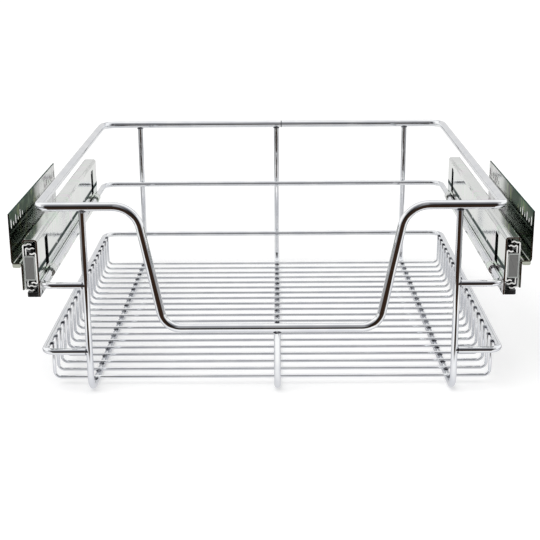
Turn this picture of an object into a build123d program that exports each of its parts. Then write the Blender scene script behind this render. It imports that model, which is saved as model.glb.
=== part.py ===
from build123d import *
import os
from math import asin, cos, radians, sin, tan

# A chromed wire basket that pulls out of a cabinet on two ball-bearing runners.
# X is across the cabinet, -Y is the front that is pulled, Z is up. The stringers stand on Z = 0.
# The cabinet side pieces are made on the right, and mirrored for the left.

# ---- wires ----------------------------------------------------------------------------------
rail_wire = 8.0            # diameter of the top rail
frame_wire = 6.0           # diameter of the two lower rings and of the stringers
floor_wire = 3.0           # diameter of the floor wires
weld_depth = 0.2           # how far two crossing wires are pressed into each other by the weld

rail_half_width = 203.5    # to the wire's centre line, as all the sizes of this block
rail_half_depth = 202.5
rail_height = 176.0
rail_back_bend = 15.0
rail_front_bend = 10.0

dip_height = 63.0          # the hand dip in the front of the top rail
dip_top_half_width = 118.5
dip_low_half_width = 96.0
dip_top_bend = 24.0
dip_low_bend = 18.0

seam_x = 11.0              # the butt weld that closes the top rail, at the back
seam_width = 1.0
seam_rise = 0.15

carrier_half_width = 204.5
carrier_height = 104.0
rim_half_width = 206.5
rim_height = 41.0
ring_back_bend = 15.0
ring_front_bend = 10.0

post_front_x = 165.0       # the outer stringers close in a little towards the back
post_back_x = 159.0
middle_x = 5.0
stringer_bend = 14.0
stringer_height = frame_wire / 2

floor_wires = 20
floor_from_front = 22.0    # from the rail's front to the first floor wire, and so at the back
floor_bend = 6.0
floor_tip_below_rim = 1.0  # from the rim's top down to the cut tips
floor_height = frame_wire + floor_wire / 2 - weld_depth
floor_half_width = rim_half_width - frame_wire / 2 - floor_wire / 2 + weld_depth
floor_tip_height = rim_height + frame_wire / 2 - floor_tip_below_rim
floor_pitch = 2 * (rail_half_depth - floor_from_front) / (floor_wires - 1)
ring_back_y = rail_half_depth - frame_wire + weld_depth

# ---- hook plate -----------------------------------------------------------------------------
seat_gap = 0.05            # between a wire and the sheet that it lies against
plate_sheet = 1.6
plate_below_wire = 13.5    # from the carrier wire's middle down to the plate's edge
plate_height = 53.5
plate_reach = 13.4         # from the inner face to the outer edge of the flange
plate_bend = 2.0           # centre line of the sheet
plate_lip_bend = 1.3
plate_from_front = 8.0     # from the rail's front, past the rings' corners
plate_end_to_rivet = 90.0

tab_width = 13.5
tab_gap = 0.1              # round the wire, so that the tab's ends run into the plate
tab_sheet = 1.5
tab_slot_width = 14.0
tab_slot_rise = 5.0        # from the wire's middle up to the slot that the tab left
tab_slot_height = 28.0
tab_from_plate_front = 40.0
tab_from_plate_back = 32.5
tab_wrap = 300.0           # degrees round the wire

plate_inner_x = carrier_half_width + frame_wire / 2 + seat_gap
plate_outer_x = plate_inner_x + plate_sheet
plate_bottom = carrier_height - plate_below_wire
plate_top = plate_bottom + plate_height
tab_slot_bottom = carrier_height + tab_slot_rise

# ---- runner, in section: u from the drawer side's back face, v from the middle ---------------
slide_length = 350.0
slide_thick = 12.7
slide_half_height = 22.5
member_sheet = 1.2
ball = 3.5
ball_gap = 0.06
groove_slope = 35.0        # degrees to which each groove runs round its balls
inner_ball_u = 3.9
outer_ball_u = 6.68
middle_web_u = 9.7
web_bend = 0.9
set_back = 3.0             # cabinet and middle members start behind the buffer's head
flange_gap = 2.4           # from the runner's top to the plate's flange
lip_gap = 0.9              # from the runner's top to the flange's lip

balls_per_row = 11
cage_length = 150.0
cage_behind_middle = 5.0   # from the runner's middle to the cage's
cage_end_to_ball = 12.5
cage_sheet = 0.6
cage_bend = 0.8
pocket_gap = 0.1
inner_cage_web_u = 8.5
outer_cage_web_u = 10.9
inner_cage_tip_u = 1.3
outer_cage_tip_u = 4.1

groove_radius = ball / 2 + ball_gap + member_sheet / 2
outer_ball_v = slide_half_height - member_sheet / 2 - groove_radius
inner_ball_v = (outer_ball_v - groove_radius / cos(radians(groove_slope)) * 2
                + (outer_ball_u - inner_ball_u) * tan(radians(groove_slope)))
slide_x = plate_outer_x
slide_front = plate_from_front - rail_half_depth
slide_height = plate_top - plate_sheet - flange_gap - slide_half_height
plate_lip = plate_sheet + flange_gap - lip_gap
tab_places = (slide_front + tab_from_plate_front, slide_front + slide_length - tab_from_plate_back)
ball_pitch = (cage_length - 2 * cage_end_to_ball) / (balls_per_row - 1)
cage_front = slide_front + (slide_length - cage_length) / 2 + cage_behind_middle

rivet = 4.0
rivet_head = 7.0
plate_rivet_rise = 0.7
bracket_rivet_rise = 1.6
bracket_end_to_rivet = 26.0
bracket_rivet_drop = 9.0   # below the runner's middle
access_slot = (18.0, 9.0)

# ---- plastic pieces at the runner's front ----------------------------------------------------
fit_gap = 0.1              # round a plastic piece that is pushed into its place
guide_gap = 0.15           # between a guide and the member that slides past it
guide_length = 8.0
guide_half_width = 1.6
guide_room = 8.0           # taller than the room that the members leave for a guide
buffer_half_height = 11.4
buffer_head = 2.5
buffer_plug = 12.0
buffer_head_u = 11.6
buffer_plug_u = 8.6
buffer_corner = 1.5
buffer_frame = 1.2
buffer_recess = 0.35
foot_length = 22.0
foot_reach = 10.4
foot_gap = 0.4             # under the runner
foot_peg = 3.0
foot_peg_from_front = 10.0

# ---- wall bracket ---------------------------------------------------------------------------
bracket_sheet = 1.5
bracket_offset = 10.15     # from the runner's back to the cabinet's side
bracket_length = 216.0
shelf_rise = 5.0           # from the runner's middle to the shelf's top
wall_plate_height = 45.0   # above the shelf
flange_drop = 20.5         # from the runner's middle to the hidden flange's lower edge
bracket_bend = 2.2         # centre line of the sheet
shelf_lip = 4.5
lip_to_flange = 0.25       # between the lip and the hidden flange
lip_inset = 1.0            # from the cabinet's side to the lip
screw_hole = 4.6
screw_hole_drop = 12.0     # below the wall plate's top edge, as the next two
slot_drop = 10.5
low_slot_drop = 25.0
slot_width = 4.6
slot_length = 9.0
low_slot_length = 13.0
opening_pitch = 9.5
openings_per_group = 6
first_opening = 6.5        # from the bracket's end to the first opening's middle

bracket_inner_x = slide_x + slide_thick
bracket_outer_x = bracket_inner_x + bracket_offset
shelf_top = slide_height + shelf_rise
bracket_top = shelf_top + wall_plate_height
foot_top = slide_height - slide_half_height - foot_gap
bracket_rivet_height = slide_height - bracket_rivet_drop


# ---- helpers --------------------------------------------------------------------------------
def bent_path(points, bends):
    """Straight runs through the corner points, with a tangent arc of the given radius at each."""
    points = [Vector(*p) for p in points]
    joins = [(points[0], None, points[0])]
    for before, corner, after, bend in zip(points, points[1:], points[2:], bends):
        back, ahead = (before - corner).normalized(), (after - corner).normalized()
        half = radians(back.get_angle(ahead)) / 2
        middle = corner + (back + ahead).normalized() * (bend / sin(half) - bend)
        joins.append((corner + back * (bend / tan(half)), middle, corner + ahead * (bend / tan(half))))
    joins.append((points[-1], None, points[-1]))
    edges = []
    for (start, middle, end), (following, _, _) in zip(joins, joins[1:] + [joins[-1]]):
        if middle is not None:
            edges.append(Edge.make_three_point_arc(start, middle, end))
        if (following - end).length > 1e-5:
            edges.append(Edge.make_line(end, following))
    return edges


def bent_wire(points, bends, diameter):
    """A round wire bent along the corner points."""
    path = Wire(bent_path(points, bends))
    section = Plane(origin=path @ 0, z_dir=path % 0) * Circle(diameter / 2)
    return sweep(section, path=path)


def side_line(points, offset):
    """The corner points of a line that runs beside another at a constant distance."""
    result = []
    directions = [(b - a).normalized() for a, b in zip(points, points[1:])]
    for i, point in enumerate(points):
        first = directions[max(i - 1, 0)]
        last = directions[min(i, len(directions) - 1)]
        normal = Vector(-first.Y - last.Y, first.X + last.X).normalized()
        reach = offset / (normal.X * -first.Y + normal.Y * first.X)
        result.append(point + normal * reach)
    return result


def sheet_face(corners, bends, thick):
    """The cut face of a bent sheet, from the corners and bend radii of its centre line."""
    points = [Vector(*p) for p in corners]
    sides = []
    for sign in (1, -1):
        radii = []
        for a, b, c, bend in zip(points, points[1:], points[2:], bends):
            turn = (b - a).X * (c - b).Y - (b - a).Y * (c - b).X
            radii.append(bend - sign * thick / 2 * (1 if turn > 0 else -1))
        line = side_line(points, sign * thick / 2)
        sides.append((line, bent_path([tuple(p) for p in line], radii)))
    (left, left_edges), (right, right_edges) = sides
    caps = [Edge.make_line(left[0], right[0]), Edge.make_line(left[-1], right[-1])]
    return Face(Wire(left_edges + right_edges + caps))


def along_y(face, start, length):
    """A face drawn in X and Z, made solid from start backwards."""
    placed = Plane(origin=(0, start, 0), x_dir=(1, 0, 0), z_dir=(0, -1, 0)) * face
    return extrude(placed, amount=length, dir=(0, 1, 0))


def runner_face(face):
    """A face drawn in the runner's own u and v, moved to the runner's place."""
    return Pos(slide_x, slide_height) * face


def upper_and_lower(corners):
    """The corner points from the lower tip to the upper tip, from those of the upper half."""
    return [(u, -v) for u, v in reversed(corners)] + list(corners)


def block(x_range, y_range, z_range):
    """A plain box between two values on each axis."""
    size = [high - low for low, high in (x_range, y_range, z_range)]
    middle = [(low + high) / 2 for low, high in (x_range, y_range, z_range)]
    return Pos(*middle) * Box(*size)


def rivet_places(length, from_end):
    """Where three rivets sit along a piece: near each end and in its middle."""
    return [slide_front + offset for offset in (from_end, length / 2, length - from_end)]


def pin_x(x_start, x_end, y, z, diameter):
    """A round bar along X."""
    place = Plane(origin=(x_start, y, z), z_dir=(1, 0, 0))
    return extrude(place * Circle(diameter / 2), amount=x_end - x_start)


def slot_x(x_start, x_end, y, z, length, width, upright=True):
    """A slot-shaped bar along X, long in Z when upright and else long in Y."""
    place = Plane(origin=(x_start, y, z), x_dir=(0, 1, 0), z_dir=(1, 0, 0))
    return extrude(place * SlotOverall(length, width, rotation=90 if upright else 0),
                   amount=x_end - x_start)


# ---- basket wires ---------------------------------------------------------------------------
def make_top_rail():
    """The closed ring of thick wire, with the hand dip in its front."""
    w, d, z = rail_half_width, rail_half_depth, rail_height
    half = [(seam_x, d, z), (w, d, z), (w, -d, z), (dip_top_half_width, -d, z),
            (dip_low_half_width, -d, dip_height)]
    other = [(-dip_low_half_width, -d, dip_height), (-dip_top_half_width, -d, z),
             (-w, -d, z), (-w, d, z), (seam_x, d, z)]
    bends = [rail_back_bend, rail_front_bend, dip_top_bend, dip_low_bend]
    right = bent_wire(half + [(0, -d, dip_height)], bends, rail_wire)
    left = bent_wire([(0, -d, dip_height)] + other, bends[::-1], rail_wire)
    bead = pin_x(seam_x - seam_width / 2, seam_x + seam_width / 2, d, z, rail_wire + 2 * seam_rise)
    return right + left + bead


def make_stringer(front_x, back_x, front_top, rail):
    """Front post, floor bar and back post in one wire, coped to the rail at both ends."""
    d = rail_half_depth
    points = [(front_x, -d, front_top), (front_x, -d, stringer_height),
              (back_x, d, stringer_height), (back_x, d, rail_height)]
    return bent_wire(points, [stringer_bend, stringer_bend], frame_wire) - rail


def make_ring(half_width, height, posts):
    """A ring that is open at the front, where its two ends butt against the posts."""
    front = -rail_half_depth
    points = [(-post_front_x, front, height), (-half_width, front, height),
              (-half_width, ring_back_y, height), (half_width, ring_back_y, height),
              (half_width, front, height), (post_front_x, front, height)]
    bends = [ring_front_bend, ring_back_bend, ring_back_bend, ring_front_bend]
    ring = bent_wire(points, bends, frame_wire)
    for post in posts:
        ring = ring - post
    return ring


def make_front_post(front_x):
    """The room that an outer stringer's front post takes, to cope a ring's end to it."""
    place = Plane(origin=(front_x, -rail_half_depth, 0))
    return extrude(place * Circle(frame_wire / 2), amount=rail_height)


def make_floor_wire(y):
    """One U-shaped floor wire, cut off just below the rim's top."""
    w = floor_half_width
    points = [(-w, y, floor_tip_height), (-w, y, floor_height), (w, y, floor_height),
              (w, y, floor_tip_height)]
    return bent_wire(points, [floor_bend, floor_bend], floor_wire)


# ---- hook plate, made on the right ----------------------------------------------------------
def make_hook_plate():
    """The L-shaped plate that hangs over the runner, with two tabs curled round the wire."""
    half = plate_sheet / 2
    corners = [(plate_inner_x + half, plate_bottom), (plate_inner_x + half, plate_top - half),
               (plate_inner_x + plate_reach - half, plate_top - half),
               (plate_inner_x + plate_reach - half, plate_top - plate_lip)]
    plate = along_y(sheet_face(corners, [plate_bend, plate_lip_bend], plate_sheet),
                    slide_front, slide_length)
    for y in tab_places:
        plate = plate - block((plate_inner_x - 1, plate_outer_x + 1),
                              (y - tab_slot_width / 2, y + tab_slot_width / 2),
                              (tab_slot_bottom, tab_slot_bottom + tab_slot_height))
        plate = plate + make_tab(y)
    for y in rivet_places(slide_length, plate_end_to_rivet):
        plate = plate - pin_x(plate_inner_x - 1, plate_outer_x + 1, y, slide_height, rivet)
    peg_y, peg_z = slide_front + foot_peg_from_front, (plate_bottom + foot_top) / 2
    return plate - pin_x(plate_inner_x - 1, plate_outer_x + 1, peg_y, peg_z, foot_peg + 2 * fit_gap)


def make_tab(y):
    """One tab, curled from the plate over the carrier wire and back under it."""
    inner = frame_wire / 2 + tab_gap
    outer = inner + tab_sheet
    start, end = (Vector(r, 0) for r in (inner, outer))
    place = Pos(carrier_half_width, carrier_height)
    edges = []
    for radius in (inner, outer):
        angle = radians(tab_wrap)
        edges.append(Edge.make_three_point_arc(
            Vector(radius, 0), Vector(radius * cos(angle / 2), radius * sin(angle / 2)),
            Vector(radius * cos(angle), radius * sin(angle))))
    edges.append(Edge.make_line(start, end))
    edges.append(Edge.make_line(edges[0] @ 1, edges[1] @ 1))
    return along_y(place * Face(Wire(edges)), y - tab_width / 2, tab_width)


def make_plate_rivets():
    """Rivets that hold the drawer member to the hook plate, flush on the basket's side."""
    head_x = plate_outer_x + member_sheet
    rivets = []
    for y in rivet_places(slide_length, plate_end_to_rivet):
        rivets.append(pin_x(plate_inner_x, head_x, y, slide_height, rivet)
                      + pin_x(head_x, head_x + plate_rivet_rise, y, slide_height, rivet_head))
    return rivets


# ---- runner, made on the right --------------------------------------------------------------
def drawer_face(thick=member_sheet):
    """Section of the drawer member: a channel with a ball groove in each outer face."""
    slope = tan(radians(groove_slope))
    low = inner_ball_v - groove_radius / cos(radians(groove_slope))
    web = member_sheet / 2
    tip = inner_ball_u + groove_radius * sin(radians(groove_slope)) + 0.5
    upper = [(web, low + (inner_ball_u - web) * slope), (inner_ball_u, low),
             (tip, low + (tip - inner_ball_u) * slope)]
    bends = [groove_radius, web_bend, web_bend, groove_radius]
    return sheet_face(upper_and_lower(upper), bends, thick)


def middle_face(thick=member_sheet):
    """Section of the middle member: grooves for the outer balls above, the inner balls below."""
    slope = tan(radians(groove_slope))
    reach = groove_radius / cos(radians(groove_slope))
    low, high = outer_ball_v - reach, inner_ball_v + reach
    tip = inner_ball_u - groove_radius * sin(radians(groove_slope)) - 0.3
    upper = [(middle_web_u, low + (middle_web_u - outer_ball_u) * slope), (outer_ball_u, low),
             (inner_ball_u, high), (tip, high - (inner_ball_u - tip) * slope)]
    bends = [groove_radius, groove_radius, web_bend, web_bend, groove_radius, groove_radius]
    return sheet_face(upper_and_lower(upper), bends, thick)


def cabinet_face(thick=member_sheet):
    """Section of the cabinet member: the outer channel, with a ball groove inside each flange."""
    slope = tan(radians(groove_slope))
    high = outer_ball_v + groove_radius / cos(radians(groove_slope))
    web = slide_thick - member_sheet / 2
    step = outer_ball_u + groove_radius * sin(radians(groove_slope)) + 0.9
    flange = high - (step - outer_ball_u) * slope
    tip = outer_ball_u - groove_radius * sin(radians(groove_slope)) - 0.8
    upper = [(web, flange), (step, flange), (outer_ball_u, high),
             (tip, high - (outer_ball_u - tip) * slope)]
    bends = [groove_radius, 1.0, 1.3, 1.3, 1.0, groove_radius]
    return sheet_face(upper_and_lower(upper), bends, thick)


def make_drawer_member():
    """The innermost member, riveted to the hook plate."""
    member = along_y(runner_face(drawer_face()), slide_front, slide_length)
    x_range = (slide_x - 1, slide_x + member_sheet + 0.5)
    for y in rivet_places(slide_length, plate_end_to_rivet):
        member = member - pin_x(*x_range, y, slide_height, rivet)
    for y in tab_places:
        top = slide_height + inner_ball_v - groove_radius - member_sheet - 1
        member = member - block(x_range, (y - tab_slot_width / 2, y + tab_slot_width / 2),
                                (tab_slot_bottom, top))
    return member


def make_middle_member():
    """The member between the two rows of balls on each side."""
    front = slide_front + set_back
    member = along_y(runner_face(middle_face()), front, slide_length - set_back)
    x_range = (slide_x + middle_web_u - 2, slide_x + middle_web_u + 2)
    for y in rivet_places(slide_length, plate_end_to_rivet):
        member = member - slot_x(*x_range, y, slide_height, *access_slot, upright=False)
    return member


def make_cabinet_member():
    """The outermost member, riveted to the wall bracket."""
    front = slide_front + set_back
    member = along_y(runner_face(cabinet_face()), front, slide_length - set_back)
    x_range = (bracket_inner_x - member_sheet - 1, bracket_inner_x + 1)
    for y in rivet_places(bracket_length, bracket_end_to_rivet):
        member = member - pin_x(*x_range, y, bracket_rivet_height, rivet)
    return member


def ball_places(u, v):
    """The middles of one cage's balls, in both rows."""
    first = cage_front + cage_end_to_ball
    return [(slide_x + u, first + i * ball_pitch, slide_height + side * v)
            for side in (1, -1) for i in range(balls_per_row)]


def make_balls(u, v):
    """All the balls of one cage."""
    return [Pos(*place) * Sphere(ball / 2) for place in ball_places(u, v)]


def make_cage(tip_u, web_u, u, v):
    """A bent strip that keeps both rows of balls apart at their pitch."""
    corners = upper_and_lower([(web_u, v), (tip_u, v)])
    cage = along_y(runner_face(sheet_face(corners, [cage_bend] * 2, cage_sheet)),
                   cage_front, cage_length)
    for x, y, z in ball_places(u, v):
        pocket = Pos(x, y, z) * Cylinder(ball / 2 + pocket_gap, 4 * cage_sheet)
        cage = cage - pocket
    return cage


def guide_faces(u, v, half_width, beyond, between):
    """The room round a row of balls, above and below, between two neighbouring members."""
    result = []
    for side in (1, -1):
        room = Pos(u, side * v) * Rectangle(2 * half_width, guide_room)
        for face in (beyond, between):
            room = room - face
        result += [f for f in room.faces() if f.is_inside(Vector(u, side * v, 0))]
    return result


def make_guides(u, v, half_width, fixed, passing):
    """Plastic guides in the front ends of a member, that its neighbour slides past."""
    faces = guide_faces(u, v, half_width, fixed, passing)
    return [along_y(runner_face(face), slide_front + set_back, guide_length) for face in faces]


# ---- plastic pieces at the front, made on the right -------------------------------------------
def make_front_buffer():
    """The grey buffer: a plug in the drawer member's end, and a head with a sunk front panel."""
    web = slide_x + member_sheet + fit_gap
    z_range = (slide_height - buffer_half_height, slide_height + buffer_half_height)
    head = block((web, slide_x + buffer_head_u), (slide_front, slide_front + buffer_head), z_range)
    head = fillet(head.edges().filter_by(Axis.Y), buffer_corner)
    head = chamfer(head.faces().sort_by(Axis.Y)[0].edges(), 0.4)
    panel = RectangleRounded(slide_x + buffer_head_u - web - 2 * buffer_frame,
                             2 * (buffer_half_height - buffer_frame), buffer_corner * 0.7)
    middle = Pos((web + slide_x + buffer_head_u) / 2, slide_height)
    head = head - along_y(middle * panel, slide_front - 1, 1 + buffer_recess)
    plug = block((web, slide_x + buffer_plug_u),
                 (slide_front + buffer_head, slide_front + buffer_head + buffer_plug), z_range)
    return head + chamfer(plug.faces().sort_by(Axis.Y)[-1].edges(), 1.0)


def make_foot_block():
    """The black block under the runner's front, pegged into the hook plate's small hole."""
    body = block((plate_outer_x, plate_outer_x + foot_reach),
                 (slide_front, slide_front + foot_length), (plate_bottom, foot_top))
    body = fillet(body.edges().filter_by(Axis.Y).sort_by(Axis.X)[-2:], 1.2)
    body = fillet(body.edges().filter_by(Axis.Z).sort_by(Axis.X)[-2:], 2.0)
    z = (plate_bottom + foot_top) / 2
    y = slide_front + foot_peg_from_front
    return body + pin_x(plate_inner_x - 0.3, plate_outer_x + 1, y, z, foot_peg)


# ---- wall bracket, made on the right ----------------------------------------------------------
def make_wall_bracket():
    """The Z-shaped bracket: wall plate, shelf and the hidden flange behind the runner."""
    half = bracket_sheet / 2
    flange_edge = slide_height - flange_drop
    corners = [(bracket_inner_x + half, flange_edge), (bracket_inner_x + half, shelf_top - half),
               (bracket_outer_x - half, shelf_top - half), (bracket_outer_x - half, bracket_top)]
    bracket = along_y(sheet_face(corners, [bracket_bend] * 2, bracket_sheet),
                      slide_front, bracket_length)
    lip = block((bracket_inner_x + bracket_sheet + lip_to_flange, bracket_outer_x - lip_inset),
                (slide_front, slide_front + bracket_sheet), (shelf_top - shelf_lip, shelf_top - half))
    bracket = bracket + fillet(lip.edges().filter_by(Axis.Y).sort_by(Axis.Z)[:2], 1.4)
    x_range = (bracket_outer_x - 2 * bracket_sheet, bracket_outer_x + 1)
    for from_end, sign in ((slide_front, 1), (slide_front + bracket_length, -1)):
        for i in range(openings_per_group):
            y = from_end + sign * (first_opening + i * opening_pitch)
            if i % 2:
                bracket = bracket - pin_x(*x_range, y, bracket_top - screw_hole_drop, screw_hole)
            else:
                bracket = bracket - slot_x(*x_range, y, bracket_top - slot_drop, slot_length,
                                           slot_width)
    low_y = slide_front + bracket_length - first_opening - opening_pitch
    bracket = bracket - slot_x(*x_range, low_y, bracket_top - low_slot_drop, low_slot_length,
                               slot_width)
    for y in rivet_places(bracket_length, bracket_end_to_rivet):
        bracket = bracket - pin_x(bracket_inner_x - 1, bracket_inner_x + bracket_sheet + 1, y,
                                  bracket_rivet_height, rivet)
    return bracket


def make_bracket_rivets():
    """Rivets with a domed head that hold the cabinet member, flush inside the runner."""
    start, seat = bracket_inner_x - member_sheet, bracket_inner_x + bracket_sheet
    shank, rim, rise = rivet / 2, rivet_head / 2, bracket_rivet_rise
    dome = (rise ** 2 + rim ** 2) / (2 * rise)
    centre, half_angle = seat + rise - dome, asin(rim / dome) / 2
    corners = [(seat + rise, 0), (start, 0), (start, shank), (seat, shank), (seat, rim)]
    outline = [Edge.make_line(a, b) for a, b in zip(corners, corners[1:])]
    outline.append(Edge.make_three_point_arc(
        (seat, rim), (centre + dome * cos(half_angle), dome * sin(half_angle)), (seat + rise, 0)))
    turned = revolve(Face(Wire(outline)), Axis.X)
    return [Pos(0, y, bracket_rivet_height) * turned
            for y in rivet_places(bracket_length, bracket_end_to_rivet)]


# ---- the assembly ---------------------------------------------------------------------------
def basket_nodes():
    """Every wire of the basket."""
    rail = make_top_rail()
    posts = [make_front_post(-post_front_x), make_front_post(post_front_x)]
    nodes = {
        "top_rail": rail,
        "carrier_wire": make_ring(carrier_half_width, carrier_height, posts),
        "rim_wire": make_ring(rim_half_width, rim_height, posts),
        "stringer_left": make_stringer(-post_front_x, -post_back_x, rail_height, rail),
        "stringer_middle": make_stringer(middle_x, middle_x, dip_height, rail),
        "stringer_right": make_stringer(post_front_x, post_back_x, rail_height, rail),
    }
    for i in range(floor_wires):
        y = (i - (floor_wires - 1) / 2) * floor_pitch
        nodes[f"floor_wire_{i + 1:02d}"] = make_floor_wire(y)
    return nodes


def side_nodes():
    """Every piece of the right-hand runner, its plate and its bracket."""
    passing = member_sheet + 2 * guide_gap
    return {
        "hook_plate": make_hook_plate(),
        "plate_rivets": make_plate_rivets(),
        "drawer_member": make_drawer_member(),
        "front_buffer": make_front_buffer(),
        "foot_block": make_foot_block(),
        "inner_guides": make_guides(inner_ball_u, inner_ball_v, guide_half_width, middle_face(),
                                    drawer_face(passing)),
        "inner_cage": make_cage(inner_cage_tip_u, inner_cage_web_u, inner_ball_u, inner_ball_v),
        "inner_balls": make_balls(inner_ball_u, inner_ball_v),
        "middle_member": make_middle_member(),
        "outer_guides": make_guides(outer_ball_u, outer_ball_v, guide_half_width, cabinet_face(),
                                    middle_face(passing)),
        "outer_cage": make_cage(outer_cage_tip_u, outer_cage_web_u, outer_ball_u, outer_ball_v),
        "outer_balls": make_balls(outer_ball_u, outer_ball_v),
        "cabinet_member": make_cabinet_member(),
        "wall_bracket": make_wall_bracket(),
        "bracket_rivets": make_bracket_rivets(),
    }


def as_shape(pieces):
    """One solid as it is, several identical ones as a group."""
    return Compound(children=[p.solid() for p in pieces]) if isinstance(pieces, list) else pieces


def main():
    """Write every node's file."""
    os.makedirs("parts", exist_ok=True)
    for name, shape in basket_nodes().items():
        export_step(shape, f"parts/{name}.step")
    for name, pieces in side_nodes().items():
        shape = as_shape(pieces)
        export_step(shape, f"parts/{name}_right.step")
        export_step(mirror(shape, Plane.YZ), f"parts/{name}_left.step")


main()
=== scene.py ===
import logging
from contextlib import contextmanager
from dataclasses import dataclass, field
from enum import Enum
from math import cos, pi, radians, sin, tan
from typing import Callable, Iterator

import bmesh
import bpy
from mathutils import Matrix, Vector


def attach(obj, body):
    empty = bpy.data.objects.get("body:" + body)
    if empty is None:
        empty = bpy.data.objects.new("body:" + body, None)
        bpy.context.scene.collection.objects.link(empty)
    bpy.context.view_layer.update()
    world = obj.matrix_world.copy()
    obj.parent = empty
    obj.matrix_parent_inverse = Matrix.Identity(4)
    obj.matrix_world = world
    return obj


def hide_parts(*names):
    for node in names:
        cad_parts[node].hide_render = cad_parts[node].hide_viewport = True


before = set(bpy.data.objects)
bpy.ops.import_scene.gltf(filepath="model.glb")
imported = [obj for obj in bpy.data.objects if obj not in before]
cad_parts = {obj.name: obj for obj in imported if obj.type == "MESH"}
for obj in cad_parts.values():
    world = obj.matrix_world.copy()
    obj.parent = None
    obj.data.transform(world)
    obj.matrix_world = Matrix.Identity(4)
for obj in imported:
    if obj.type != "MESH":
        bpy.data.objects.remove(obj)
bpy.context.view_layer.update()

LOG = logging.getLogger("wire_basket")
MM = 0.001
TINY = 1e-6                         # metres: places nearer than this count as one
FRONT = -194.5                      # millimetres: the front of the plates, brackets and buffers
PEG_PLACE = (FRONT + 10.0, 92.55)   # millimetres: Y and Z of the foot blocks' pegs
BROKEN_EDGE = 0.2                   # millimetres: how far the edges of small pieces are rounded
BASKET = "basket"
CABINET = "cabinet_sides"
Corner = tuple[float, float, float]
Colour = tuple[float, float, float]


# ---- shader values ---------------------------------------------------------------------------
class Value:
    """A number that varies over a surface, which Python's operators work on."""

    def __init__(self, shader: "Shader", socket: bpy.types.NodeSocket) -> None:
        """Wrap one output socket.

        Args:
            shader: the shader that the socket belongs to.
            socket: the output socket.
        """
        self.shader = shader
        self.socket = socket

    def _math(self, operation: str, *values: "Value | float") -> "Value":
        """Add one Math node to the shader."""
        settings = {"operation": operation}
        return self.shader.node("ShaderNodeMath", settings, dict(enumerate(values)))[0]

    def __add__(self, other: "Value | float") -> "Value":
        """Sum."""
        return self._math("ADD", self, other)

    def __sub__(self, other: "Value | float") -> "Value":
        """Difference."""
        return self._math("SUBTRACT", self, other)

    def __rsub__(self, other: float) -> "Value":
        """Difference, with the number first."""
        return self._math("SUBTRACT", other, self)

    def __mul__(self, other: "Value | float") -> "Value":
        """Product."""
        return self._math("MULTIPLY", self, other)

    def __gt__(self, other: "Value | float") -> "Value":
        """One where this is greater, and nought elsewhere."""
        return self._math("GREATER_THAN", self, other)

    def __lt__(self, other: "Value | float") -> "Value":
        """One where this is less, and nought elsewhere."""
        return self._math("LESS_THAN", self, other)

    def absolute(self) -> "Value":
        """The size, without its sign."""
        return self._math("ABSOLUTE", self)

    def ramp(self, start: float, end: float) -> "Value":
        """Nought below start, one above end, and smooth between them."""
        settings = {"interpolation_type": "SMOOTHSTEP"}
        return self.shader.node("ShaderNodeMapRange", settings, {0: self, 1: start, 2: end})[0]

    def span(self, low: float, high: float) -> "Value":
        """From low, where this is nought, to high, where it is one."""
        return self * (high - low) + low

    __radd__ = __add__
    __rmul__ = __mul__


class Ray(Enum):
    """Kinds of ray, by their output on a Light Path node."""

    CAMERA = 0
    GLOSSY = 3
    TRANSMISSION = 6


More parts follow.
